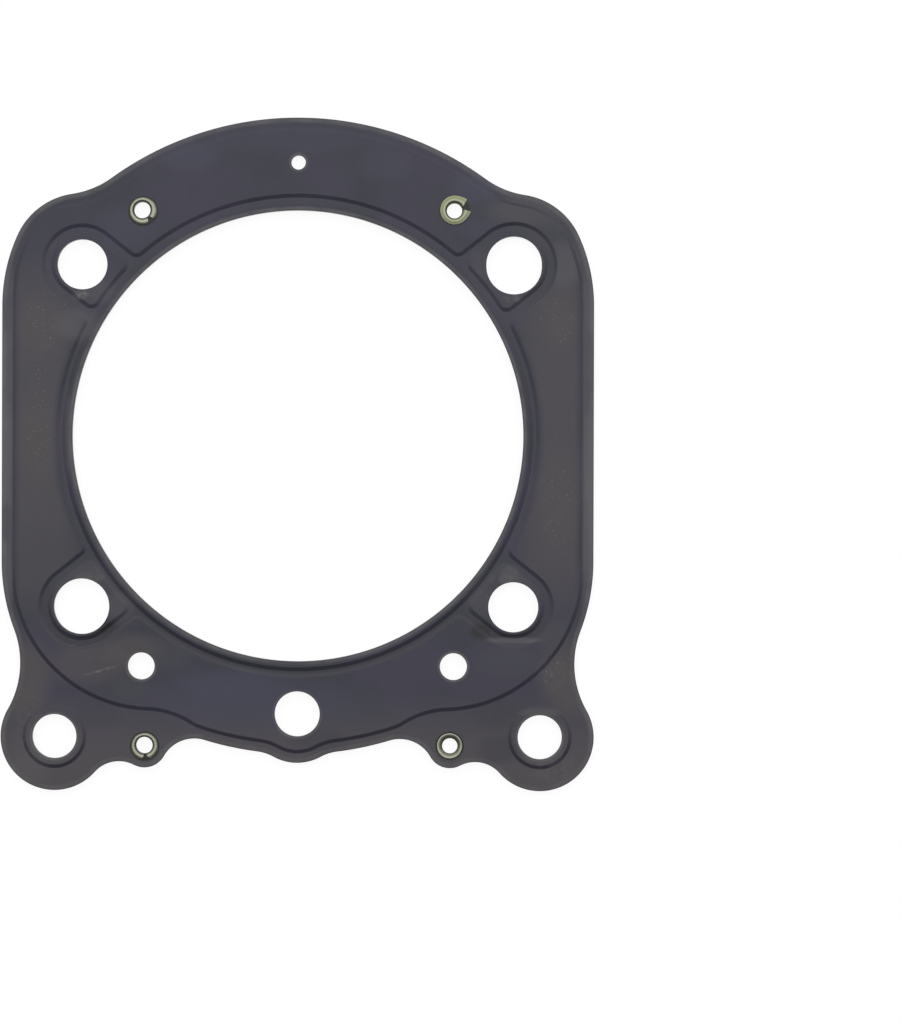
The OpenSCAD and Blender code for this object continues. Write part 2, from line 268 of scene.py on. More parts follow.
# %% The stepped bead inside the edge
step_inset = 2.5
turn_r = 31
turn_y = 29.6
over_eyelet_r = 19.2
swing_r = 10.2
step_edge_r = edge_r - step_inset
turn = complex(turn_r + step_inset - side_x, -turn_y)
over_drop = sqrt((turn_r + over_eyelet_r) ** 2 - (lobe.real - turn.real) ** 2)
over_eyelet = complex(lobe.real, turn.imag - over_drop)
swing = meet(over_eyelet, over_eyelet_r + swing_r, axis, step_edge_r - swing_r)
inner_turn = [
    Arc(turn, turn_r, 1, 180, facing(turn, over_eyelet)),
    Arc(over_eyelet, over_eyelet_r, -1, facing(over_eyelet, turn), facing(over_eyelet, swing)),
    Arc(swing, swing_r, 1, facing(swing, over_eyelet), facing(axis, swing)),
]

left_step = upper_edge(step_inset) + inner_turn + lower_edge(step_inset, facing(axis, swing))
step_path = left_step + mirrored(left_step)
print(f"Stepped bead: {len(step_path)} arcs, {len(path_points(step_path))} points")

# %% [markdown]
# The full beads run round the fire opening and round each stud, and run into each other between
# them. What is left high inside is a rim round the opening and a flat pad round each stud. Their
# outlines are laid out for a stud on the +X axis and then turned to the real one.

# %% The beads round the fire opening and the studs
opening_rim_w = 1.3
bead_w = 2.4
stud_rim_w = 0.45
stud_bead_w = 3.1
bead_corner_r = 1.2
opening_bead_r = opening_r + opening_rim_w + bead_w


def corner(y):
    """Centre of the corner between a leg at height y and the bead of the fire opening."""
    return complex(sqrt((opening_bead_r + bead_corner_r) ** 2 - y ** 2), y)


def pad_path(stud):
    pad_r = stud.hole_r + stud_rim_w
    high = corner(pad_r - bead_corner_r)
    low = high.conjugate()
    return turned([
        Arc(stud_reach, pad_r, 1, -90, 90),
        Arc(high, bead_corner_r, 1, 90, facing(high, axis)),
        Arc(axis, opening_bead_r, -1, facing(axis, high), facing(axis, low)),
        Arc(low, bead_corner_r, 1, facing(low, axis), -90),
    ], facing(axis, stud.place))


def ring_corner(stud):
    return corner(stud.hole_r + stud_rim_w + stud_bead_w + bead_corner_r)


def ring_part(stud):
    """Outer foot of the bead round a stud."""
    high = ring_corner(stud)
    low = high.conjugate()
    return turned([
        Arc(low, bead_corner_r, -1, facing(low, axis), 90),
        Arc(stud_reach, stud.hole_r + stud_rim_w + stud_bead_w, 1, -90, 90),
        Arc(high, bead_corner_r, -1, -90, facing(high, axis)),
    ], facing(axis, stud.place))


def ring_link(stud, following):
    """Outer foot of the bead round the opening, from one stud to the next."""
    return Arc(axis, opening_bead_r, 1, facing(axis, stud.place) + facing(axis, ring_corner(stud)),
               facing(axis, following.place) - facing(axis, ring_corner(following)))


ring_path = []
for stud, following in zip(studs, studs[1:] + studs[:1]):
    ring_path += ring_part(stud) + [ring_link(stud, following)]
print(f"Ring of beads: {len(ring_path)} arcs, {len(path_points(ring_path))} points")

# %% [markdown]
# ## Pressed sheet metal
# A pressed sheet has the same thickness everywhere, so each line of its outer side has a twin on
# its inner side, one thickness below. The sheet is built line by line. A strip joins two lines that
# follow one path at different distances, and that is how the flanks and the cut edges are made.
# The flats between them have any number of holes, and a constrained Delaunay triangulation fills
# those in one step, without the long work of cutting holes with booleans. A guard line just beside
# each flank keeps the shading of the flats flat.
# Each point also carries a mark: 1 at a cut edge, 0 on the plain sheet, -1 on a flank and -2 on the
# crest of a bead. The finish uses it later: the coat wears on the flats and stays as new on the
# flanks, and shade is painted in the folds between them.

# %% A sheet metal part
flank_w = 0.95
lip_r = 0.08
burr = 0.02
guard_w = 0.06
lip_steps = 4
flank_steps = 12
flank_round = 0.15
sharp_angle = radians(35)
delaunay_tol = 1e-6
INSIDE_WITHOUT_HOLES = 2
FLANK = -1
CREST = -2


class Pressing:
    def __init__(self, thickness):
        self.thickness = thickness
        self.points, self.marks, self.faces = [], [], []

    def line(self, plan, z, mark):
        first = len(self.points)
        self.points += [(p.real, p.imag, z) for p in plan]
        self.marks += [mark] * len(plan)
        return range(first, len(self.points))

    def loop(self, plan, z, mark=0):
        """The same closed line on the outer and on the inner side."""
        return [self.line(plan, height, mark) for height in (z, z - self.thickness)]

    def band(self, a, b):
        self.faces += [(a[i - 1], a[i], b[i], b[i - 1]) for i in range(len(a))]

    def strip(self, a, b):
        for line_a, line_b in zip(a, b):
            self.band(line_a, line_b)

    def fill(self, loops):
        """Fills the flat between the first loop and the others, which are its holes."""
        for lines in zip(*loops):
            corners = [i for line in lines for i in line]
            ends = np.cumsum([0] + [len(line) for line in lines])
            rims = [list(range(a, b)) for a, b in zip(ends, ends[1:])]
            plan = [Vector(self.points[i][:2]) for i in corners]
            filled = delaunay_2d_cdt(plan, [], rims, INSIDE_WITHOUT_HOLES, delaunay_tol)
            self.faces += [tuple(corners[filled[3][v][0]] for v in face) for face in filled[2]]

    def flank(self, path, start, z_start, z_end, mark_start=0, mark_end=0):
        """A soft S from one level to another. Returns the loops on its inner and its outer side."""
        share = np.linspace(0, 1, flank_steps + 1)
        middle = (share[:-1] + share[1:]) / 2
        slope = np.clip(np.minimum(middle, 1 - middle) / flank_round, 0, 1)
        rise = np.append(0, np.cumsum(slope) / slope.sum())
        places = [start - guard_w, *(start + flank_w * share), start + flank_w + guard_w]
        heights = [z_start, *(z_start + (z_end - z_start) * rise), z_end]
        marks = np.interp(share, [0, 0.25, 0.75, 1], [mark_start, FLANK, FLANK, mark_end])
        marks = [mark_start, *marks, mark_end]
        loops = [self.loop(path_points(path, d), z, mark) for d, z, mark in zip(places, heights, marks)]
        for a, b in zip(loops, loops[1:]):
            self.strip(a, b)
        return loops[0], loops[-1]

    def cut(self, path, side, z, mark_w):
        """A punched edge with its rolled-over lip. The metal lies outside the path where side is 1
        and inside it where side is -1. Returns the loop at mark_w from the edge."""
        inner = self.loop(path_points(path, side * mark_w), z)
        lip = self.loop(path_points(path, side * lip_r), z, 1)
        self.strip(inner, lip)
        wall = [lip[0]]
        for angle in np.linspace(0, pi / 2, lip_steps + 1)[1:]:
            inset = lip_r * (1 - sin(angle))
            wall.append(self.line(path_points(path, side * inset), z - lip_r * (1 - cos(angle)), 1))
        wall.append(self.line(path_points(path), z - self.thickness + burr, 1))
        wall.append(self.line(path_points(path, side * burr), z - self.thickness, 1))
        wall.append(lip[1])
        for a, b in zip(wall, wall[1:]):
            self.band(a, b)
        return inner

    def to_object(self, name, mirror_z=None):
        mesh = bpy.data.meshes.new(name)
        points = np.array(self.points)
        if mirror_z is not None:
            points[:, 2] = 2 * mirror_z - points[:, 2]
        mesh.from_pydata(points * MM, [], self.faces)
        mark = mesh.attributes.new("pressing_mark", "FLOAT", "POINT")
        mark.data.foreach_set("value", self.marks)
        return finished_mesh(mesh)


def finished_mesh(mesh):
    """Turns all faces outward, shades them smoothly and puts the mesh in the scene."""
    work = bmesh.new()
    work.from_mesh(mesh)
    bmesh.ops.recalc_face_normals(work, faces=work.faces)
    open_edges = sum(not edge.is_manifold for edge in work.edges)
    work.to_mesh(mesh)
    work.free()
    mesh.shade_smooth()
    mesh.set_sharp_from_angle(angle=sharp_angle)
    piece = bpy.data.objects.new(mesh.name, mesh)
    bpy.context.scene.collection.objects.link(piece)
    triangles = sum(len(face.vertices) - 2 for face in mesh.polygons)
    print(f"{mesh.name}: {triangles} triangles, {open_edges} open edges")
    return piece


# %% [markdown]
# The beads are formed downward, towards the spacer. So the outer side of a layer has its field, its
# rims and its pads at the high level. The crests of the full beads are at the low level, and so is
# the margin outside the stepped bead, with the two ears. The lower layer is the same pressing,
# turned over.

# %% The embossed layers
ear_rim_w = 1.3
eyelet_wall = 0.2
eyelet_gap = 0.05
left_bore_r = 3.65 / 2
right_bore_r = 3.4 / 2
low_z = top_z - bead_h
opening_mark_w = 1.1
stud_mark_w = 0.1
hole_mark_w = 0.7
edge_mark_w = 1.4
eyelet_holes = [(across(upper_eyelet), left_bore_r), (upper_eyelet, right_bore_r),
                (across(lower_eyelet), left_bore_r), (lower_eyelet, right_bore_r)]


def stud_hole_path(stud):
    half_slot = 0.5j * stud.slot
    return [Arc(stud.place + half_slot, stud.hole_r, 1, 0, 180),
            Arc(stud.place - half_slot, stud.hole_r, 1, 180, 0)]


def eyelet_cuts(layer, holes, z):
    return [layer.cut(circle_path(place, bore_r + eyelet_wall + eyelet_gap), 1, z, stud_mark_w)
            for place, bore_r in holes]


def bore_rim(layer, centre, hole_r, rim_w, mark_w, mark_end=0):
    """A round hole with a flat rim and the flank that leads down from it."""
    hole = circle_path(centre, hole_r)
    rim = layer.cut(hole, 1, top_z, mark_w)
    foot, crest = layer.flank(hole, rim_w, top_z, low_z, 0, mark_end)
    layer.strip(rim, foot)
    return crest


def embossed_layer():
    layer = Pressing(layer_t)
    crest_holes = [bore_rim(layer, axis, opening_r, opening_rim_w, opening_mark_w, CREST)]
    for stud in studs:
        hole = layer.cut(stud_hole_path(stud), 1, top_z, stud_mark_w)
        foot, crest = layer.flank(pad_path(stud), 0, top_z, low_z, 0, CREST)
        layer.fill([foot, hole])
        crest_holes.append(crest)
    crest, ring_foot = layer.flank(ring_path, -flank_w, low_z, top_z, CREST, 0)
    layer.fill([crest] + crest_holes)

    field, margin = layer.flank(step_path, -flank_w / 2, top_z, low_z)
    passages = [layer.cut(circle_path(*hole), 1, top_z, hole_mark_w) for hole in round_holes]
    layer.fill([field, ring_foot] + passages + eyelet_cuts(layer, eyelet_holes[:2], top_z))

    outer = layer.cut(edge_path, -1, low_z, edge_mark_w)
    ears = [bore_rim(layer, place, ear_hole_r, ear_rim_w, hole_mark_w) for place in (ear, across(ear))]
    layer.fill([outer, margin] + ears + eyelet_cuts(layer, eyelet_holes[2:], low_z))
    return layer


pressing = embossed_layer()
stack_middle = (spacer_z + upper_z) / 2
upper_layer = pressing.to_object("formed_upper_layer")
lower_layer = pressing.to_object("formed_lower_layer", mirror_z=stack_middle)

# %% [markdown]
# The spacer is a plain blank: the same outline and the same holes, flat on both sides. Only its
# punched edges show, as the middle line of the stack.

# %% The spacer
spacer = Pressing(upper_z - spacer_z)
spacer_holes = [spacer.cut(circle_path(*hole), 1, upper_z, hole_mark_w)
                for hole in [(axis, opening_r), (ear, ear_hole_r), (across(ear), ear_hole_r)] + round_holes]
spacer_holes += [spacer.cut(stud_hole_path(stud), 1, upper_z, stud_mark_w) for stud in studs]
spacer_holes += eyelet_cuts(spacer, eyelet_holes, upper_z)
spacer.fill([spacer.cut(edge_path, -1, upper_z, edge_mark_w)] + spacer_holes)
spacer_blank = spacer.to_object("spacer_blank")

# %% [markdown]
# ## Rolled eyelets
# An eyelet is a short brass tube. Its formed head comes from the press and is even. The other end
# is rolled over by hand or in a simple tool once it is through the stack, so no two rims are alike:
# three of them have split, and they don't sit centred on their bore. The lower right one is flared
# like a funnel, with its crest near the outside, and the upper right one is nearly flat.
# The rim is one thin section that is swept round the bore. The section rises to a crest and falls
# to a lip, which may stand off the sheet. Each half of it is a superellipse: a bend of 1 gives a
# straight cone, and 2 gives a quarter of an ellipse. Beyond the share of the section called notch,
# the further a point is from the bore, the earlier its sweep ends, and that opens the split. Flare
# bends the tips at the split outward. The last size of a rim is the width of the highlight painted
# along its crest, and it also sets how far shade is painted out from the bore. A modifier could roll
# the tube too, but not tear it at one place.

# %% Eyelets
rim_h = 0.42
head_r = 2.9
skin_points = 45
sweep_steps = 150
lip_highlight_w = 0.1
flare_angle = 40
seam_gap = 0.0005
full_open = 1.001
Rim = namedtuple("Rim", "place bore_r bottom r shift crest bend lip notch split flare polish")
NO_SPLIT = ((0, 0), (0, 0))


def arch(bore_r, rim_r, crest, bend, lip, thickness):
    """Radius and height of an arched skin from the bore to the rim. Its end stands lip high."""
    end_r = rim_r - max(thickness - lip, 0)
    end_z = max(lip - thickness, 0)
    crest_r = bore_r + crest * (rim_r - bore_r)
    top = rim_h - thickness
    skin = []
    for t in np.linspace(-1, 1, skin_points):
        power = 2 / (bend[0] if t < 0 else bend[1])
        out = abs(sin(t * pi / 2)) ** power
        up = abs(cos(t * pi / 2)) ** power
        if t < 0:
            skin.append((crest_r - out * (crest_r - bore_r - thickness), top * up))
        else:
            skin.append((crest_r + out * (end_r - crest_r), end_z + up * (top - end_z)))
    return skin


def closed_section(rim):
    """Radius and height of each point of the section: the rim's skin, its inside, and the head's."""
    outer = arch(rim.bore_r, rim.r, rim.crest, rim.bend, rim.lip, 0)
    inner = arch(rim.bore_r, rim.r, rim.crest, rim.bend, rim.lip, eyelet_wall)
    head_skin = arch(rim.bore_r, head_r, 0.5, (2, 2), 0, 0)
    head_inside = arch(rim.bore_r, head_r, 0.5, (2, 2), 0, eyelet_wall)
    top = 2 * stack_middle - rim.bottom
    section = [(r, top + z) for r, z in outer + inner[::-1]]
    return section + [(r, rim.bottom - z) for r, z in head_inside + head_skin[::-1]]


def sweep_limits(rim):
    """Where the sweep of each point starts and ends, and how far the split is open along the skin."""
    share = np.linspace(0, 1, skin_points)
    opened = np.clip((share - rim.notch) / (full_open - rim.notch), 0, 1)
    (root_a, tip_a), (root_b, tip_b) = rim.split
    starts = root_a + (tip_a - root_a) * opened
    ends = np.where(opened > 0, root_b + (tip_b - root_b) * opened, root_a) + 360
    whole = np.full(2 * skin_points, root_a)
    starts = np.concatenate([starts, starts[::-1], whole])
    ends = np.concatenate([ends, ends[::-1], whole + 360])
    return starts, ends, opened


def highlight_and_shade_mark(rim, r, z):
    """Above 0 where a highlight is painted on the crest and the lip, below 0 where shade is painted in and
    near the bore.
    """
    if z <= 2 * stack_middle - rim.bottom:
        return -1.0 * (z > rim.bottom)
    crest_r = rim.bore_r + rim.crest * (rim.r - rim.bore_r)
    crest_highlight = exp(-((r - crest_r) / rim.polish) ** 2)
    lip = 2 * rim.lip * exp(-((r - rim.r) / lip_highlight_w) ** 2)
    painted_bore_shade = max(0, 1 - abs(r - rim.bore_r) / (crest_r - rim.polish - rim.bore_r))
    return crest_highlight + lip - painted_bore_shade


def swept_point(rim, r, z, angle):
    reach = (r - rim.bore_r) / (rim.r - rim.bore_r) if z > stack_middle else 0
    near = min(abs((angle - tip + 180) % 360 - 180) for _, tip in rim.split)
    flare = rim.flare * max(0, 1 - near / flare_angle) ** 2
    place = rim.place + polar(r, angle) + rim.shift * reach + polar(flare * reach, angle)
    return place.real, place.imag, z


def rolled_eyelet(name, rim):
    section = closed_section(rim)
    starts, ends, opened = sweep_limits(rim)
    points, marks, faces = [], [], []
    for (r, z), start, end in zip(section, starts, ends):
        points += [swept_point(rim, r, z, angle) for angle in np.linspace(start, end, sweep_steps + 1)]
        marks += [highlight_and_shade_mark(rim, r, z)] * (sweep_steps + 1)
    row = sweep_steps + 1
    for i in range(len(section)):
        a, b = i * row, (i + 1) % len(section) * row
        faces += [(a + j, a + j + 1, b + j + 1, b + j) for j in range(sweep_steps)]
    for i in range(skin_points - 1):
        if opened[i + 1] > 0:
            a, b = i, 2 * skin_points - 1 - i
            for j in (0, sweep_steps):
                faces.append((a * row + j, (a + 1) * row + j, (b - 1) * row + j, b * row + j))
    mesh = bpy.data.meshes.new(name)
    mesh.from_pydata(np.array(points) * MM, [], faces)
    mark = mesh.attributes.new("polish", "FLOAT", "POINT")
    mark.data.foreach_set("value", marks)
    work = bmesh.new()
    work.from_mesh(mesh)
    bmesh.ops.remove_doubles(work, verts=work.verts, dist=seam_gap * MM)
    work.to_mesh(mesh)
    work.free()
    return finished_mesh(mesh)


field_bottom = 0
edge_bottom = bead_h
eyelet_rims = {
    "eyelet_upper_left": Rim(
        across(upper_eyelet), left_bore_r, field_bottom, r=3.14, shift=0.21 - 0.23j, crest=0.47,
        bend=(1.6, 2), lip=0.08, notch=0.1, split=((-44, -29), (-53, -70)), flare=0, polish=0.23),
    "eyelet_upper_right": Rim(
        upper_eyelet, right_bore_r, field_bottom, r=3.18, shift=0.04 + 0.14j, crest=0.42,
        bend=(1.8, 1), lip=0.32, notch=0.06, split=((19, 42), (9, -6)), flare=0.4, polish=0.14),
    "eyelet_lower_left": Rim(
        across(lower_eyelet), left_bore_r, edge_bottom, r=3.08, shift=0.06 - 0.24j, crest=0.49,
        bend=(1.6, 2), lip=0.08, notch=0.12, split=((-79, -61), (-90, -105)), flare=0, polish=0.22),
    "eyelet_lower_right": Rim(
        lower_eyelet, right_bore_r, edge_bottom, r=2.96, shift=-0.05, crest=0.74,
        bend=(1.3, 1.8), lip=0.04, notch=1, split=NO_SPLIT, flare=0, polish=0.24),
}
eyelet_pieces = {node: rolled_eyelet(node.replace("eyelet", "rolled_eyelet"), rim)
                 for node, rim in eyelet_rims.items()}

# %% [markdown]
# ## Finishes
# One small function turns a written colour into the linear one that the shader works with, and one
# adds a shader node with its settings and links.

# %% Tools for the finishes
def colour(hex_code):
    """Linear RGBA of an sRGB hex code."""
    parts = [int(hex_code[i:i + 2], 16) / 255 for i in (1, 3, 5)]
    return (*(c / 12.92 if c < 0.04045 else ((c + 0.055) / 1.055) ** 2.4 for c in parts), 1)


def add(tree, kind, inputs={}, **settings):
    """Adds a node. Its inputs are values, or outputs of other nodes that are linked to them."""
    node = tree.nodes.new("ShaderNode" + kind)
    for name, value in settings.items():
        setattr(node, name, value)
    for name, value in inputs.items():
        if isinstance(value, bpy.types.NodeSocket):
            tree.links.new(value, node.inputs[name])
        else:
            node.inputs[name].default_value = value
    return node


def new_material(name):
    """A new material with its shader, and the place on the object in millimetres."""
    material = bpy.data.materials.new(name)
    material.use_nodes = True
    tree = material.node_tree
    shader = tree.nodes["Principled BSDF"]
    place = add(tree, "VectorMath", {0: add(tree, "TexCoord").outputs["Object"], "Scale": 1 / MM},
                operation="SCALE").outputs["Vector"]
    return material, tree, shader, place


def oval(tree, place, x, y, half_x, half_y, strength=1):
    """Full strength in the middle of an oval zone of the sheet, fading to 0 at its edge."""
    scaled = add(tree, "VectorMath", {0: place, 1: (1 / half_x, 1 / half_y, 0),
                                      2: (-x / half_x, -y / half_y, 0)}, operation="MULTIPLY_ADD")
    away = add(tree, "VectorMath", {0: scaled.outputs[0]}, operation="LENGTH").outputs["Value"]
    return add(tree, "MapRange", {"Value": away, 1: 1, 2: 0.35, 4: strength},
               interpolation_type="SMOOTHSTEP").outputs[0]


# %% [markdown]
# ## Rubber-coated spring steel
# The outer layers have a thin baked coat of nitrile rubber over the steel. It is nearly black with
# a violet tint and a silky sheen, and it is uneven: bluish and neutral clouds about 20 mm across.
# Handling has made the flats of the long sides and of the ears warmer and lighter, and the margin
# outside the stepped bead has gone grey. The coat stays as new on the flanks of the beads, and beside
# the beads of the long sides the wear fades out, leaving a band of painted shade. Shade is painted in
# the folds of the beads and on the beads of the lower half, and a highlight is painted on the crests
# in the upper half. Where the sheet was punched, the coat is drawn thin and looks paler for about a
# millimetre.
# Rubber has an IOR of about 1.5, and 1.45 with a roughness of about 0.4 gives the sheen seen here.
# Its grain is finer than the picture can show, so it is drawn two points of the picture wide.

# %% The coating, with the sizes of its patterns in millimetres
cloud_w = 20
wear_patch_w = 8.3
edge_patch_w = 4
rub_grain_w = 1.4
grit_w = 0.53
streak_w = 0.625
streak_length = 12.5
rubber_grain_w = 0.45
coat, tree, shader, place = new_material("nitrile_coated_steel")
x, y, z = add(tree, "SeparateXYZ", {0: place}).outputs
mark = add(tree, "Attribute", attribute_name="pressing_mark").outputs["Fac"]
on_flats = add(tree, "MapRange", {"Value": mark, 1: -1, 2: 0}).outputs[0]
on_crest = add(tree, "MapRange", {"Value": mark, 1: -1.2, 2: -2}).outputs[0]
clouds = add(tree, "TexNoise", {"Vector": place, "Scale": 1 / cloud_w, "Detail": 5, "Roughness": 0.52})
cloudy = add(tree, "MapRange", {"Value": clouds.outputs[0], 1: 0.38, 2: 0.62},
             interpolation_type="SMOOTHSTEP").outputs[0]
coat_colour = add(tree, "Mix", {0: cloudy, 6: colour("#222432"), 7: colour("#2C2A3D")},
                  data_type="RGBA").outputs[2]

# %% Wear on the flats of the long sides and of the ears, with painted shade beside the beads
step_x = side_x - step_inset
from_axis = add(tree, "Math", {0: x}, operation="ABSOLUTE").outputs[0]
from_middle = add(tree, "Math", {0: y}, operation="ABSOLUTE").outputs[0]
from_centre = add(tree, "VectorMath", {0: place}, operation="LENGTH").outputs["Value"]
handled_wear_and_bead_shade = add(tree, "MapRange", {"Value": from_axis, 1: 44, 2: 55},
              interpolation_type="SMOOTHSTEP").outputs[0]
# The wear fades out beside the ring and the step, which leaves a band of painted shade along the beads.
ring_r = opening_bead_r - 0.2
ring_shade_fade = add(tree, "MapRange", {"Value": from_centre, 1: ring_r, 2: ring_r + 1.3}).outputs[0]
step_shade_fade = add(tree, "MapRange", {"Value": from_axis, 1: step_x - 0.4, 2: step_x - 1.8}).outputs[0]
waist_zone = add(tree, "MapRange", {"Value": from_middle, 1: 46, 2: 26},
                 interpolation_type="SMOOTHSTEP").outputs[0]
for share in (ring_shade_fade, step_shade_fade, waist_zone, on_flats):
    handled_wear_and_bead_shade = add(tree, "Math", {0: handled_wear_and_bead_shade, 1: share}, operation="MULTIPLY").outputs[0]
ear_zone = add(tree, "MapRange", {"Value": y, 1: -54, 2: -72}, interpolation_type="SMOOTHSTEP").outputs[0]
ear_wear = add(tree, "Math", {0: ear_zone, 1: on_flats}, operation="MULTIPLY").outputs[0]
print("Coating nodes with the wear of the flats:", len(tree.nodes))

# %% The margin outside the stepped bead, and painted highlight and shade on the crests and folds of the beads
margin = add(tree, "MapRange", {"Value": from_axis, 1: step_x - 0.3, 2: step_x + 0.3}).outputs[0]
patches = add(tree, "TexNoise", {"Vector": place, "Scale": 1 / wear_patch_w, "Detail": 2}).outputs[0]
patches = add(tree, "MapRange", {"Value": patches, 1: 0.35, 2: 0.6, 3: 0.7, 4: 1}).outputs[0]
for share in (waist_zone, patches):
    margin = add(tree, "Math", {0: margin, 1: share}, operation="MULTIPLY").outputs[0]
# Painted highlight: the crests of the beads in the upper half are lighter.
painted_crest_highlight = add(tree, "MapRange", {"Value": y, 1: -45, 2: -20, 3: 0, 4: 0.18}).outputs[0]
painted_crest_highlight = add(tree, "Math", {0: painted_crest_highlight, 1: on_crest}, operation="MULTIPLY").outputs[0]
# Painted shade: the flanks and crests of the beads in the lower half are darker and more neutral.
painted_shade_lower_bead = add(tree, "MapRange", {"Value": y, 1: -20, 2: -48}, interpolation_type="SMOOTHSTEP").outputs[0]
bead_shade_share = add(tree, "MapRange", {"Value": mark, 1: 0, 2: -1, 4: 0.7}).outputs[0]
painted_shade_lower_bead = add(tree, "Math", {0: painted_shade_lower_bead, 1: bead_shade_share}, operation="MULTIPLY").outputs[0]
# Painted shade: the folds between the flats and the flanks are darkened.
painted_fold_shade = add(tree, "Math", {0: mark, 1: 0}, operation="MINIMUM").outputs[0]
painted_fold_shade = add(tree, "Math", {0: painted_fold_shade, 1: 0.5}, operation="PINGPONG").outputs[0]
painted_fold_shade = add(tree, "Math", {0: painted_fold_shade, 1: 0.7}, operation="MULTIPLY").outputs[0]
for share, hex_code in ((painted_crest_highlight, "#3F3E48"), (painted_shade_lower_bead, "#25242F"), (painted_fold_shade, "#0A0A10"),
                        (handled_wear_and_bead_shade, "#3B383F"), (ear_wear, "#403C42"), (margin, "#47464E")):
    coat_colour = add(tree, "Mix", {0: share, 6: coat_colour, 7: colour(hex_code)},
                      data_type="RGBA").outputs[2]
print("Coating nodes with the margin and the beads:", len(tree.nodes))

# %% The thin coat along the cut edges
thin_coat = add(tree, "MapRange", {"Value": mark, 1: 0, 2: 0.6}, interpolation_type="SMOOTHSTEP").outputs[0]
edge_patches = add(tree, "TexNoise", {"Vector": place, "Scale": 1 / edge_patch_w}).outputs[0]
edge_share = add(tree, "MapRange", {"Value": edge_patches, 1: 0.3, 2: 0.7, 3: 0.35, 4: 0.85}).outputs[0]
thin_coat = add(tree, "Math", {0: thin_coat, 1: edge_share}, operation="MULTIPLY").outputs[0]
coat_colour = add(tree, "Mix", {0: thin_coat, 6: coat_colour, 7: colour("#565456")},
                  data_type="RGBA").outputs[2]
print("Coating nodes with the cut edges:", len(tree.nodes))

# %% [markdown]
# A part that has been handled also has marks that follow no rule, and one noise over the whole
# sheet would put them in the wrong places. So they are laid on one by one, each in an oval zone with
# soft ends. The patterns are an even haze, one that spares the beads, a fine grain where something
# has rubbed, specks where grit has scratched, and slanting streaks where the gasket was dragged.
# Only the upper side has them, because nothing is known of the other side.

# %% Patterns of the spots
grain = add(tree, "TexNoise", {"Vector": place, "Scale": 1 / rub_grain_w, "Detail": 4, "Roughness": 0.6})
grain = add(tree, "MapRange", {"Value": grain.outputs[0], 1: 0.36, 2: 0.66}).outputs[0]
specks = add(tree, "TexNoise", {"Vector": place, "Scale": 1 / grit_w, "Detail": 1}).outputs[0]
specks = add(tree, "MapRange", {"Value": specks, 1: 0.68, 2: 0.74}).outputs[0]
rising = add(tree, "VectorRotate", {"Vector": place, "Angle": radians(-15)}, rotation_type="Z_AXIS")
along = add(tree, "VectorMath", {0: rising.outputs[0], 1: (1 / streak_length, 1 / streak_w, 0.8)},
            operation="MULTIPLY").outputs[0]
streaks = add(tree, "TexNoise", {"Vector": along, "Scale": 1, "Detail": 2, "Distortion": 0.3})
streaks = add(tree, "MapRange", {"Value": streaks.outputs[0], 1: 0.62, 2: 0.72}).outputs[0]
streaks = add(tree, "Math", {0: streaks, 1: grain}, operation="MULTIPLY").outputs[0]
patterns = {"flats": on_flats, "grain": grain, "specks": specks, "streaks": streaks}
print("Patterns:", ", ".join(patterns))
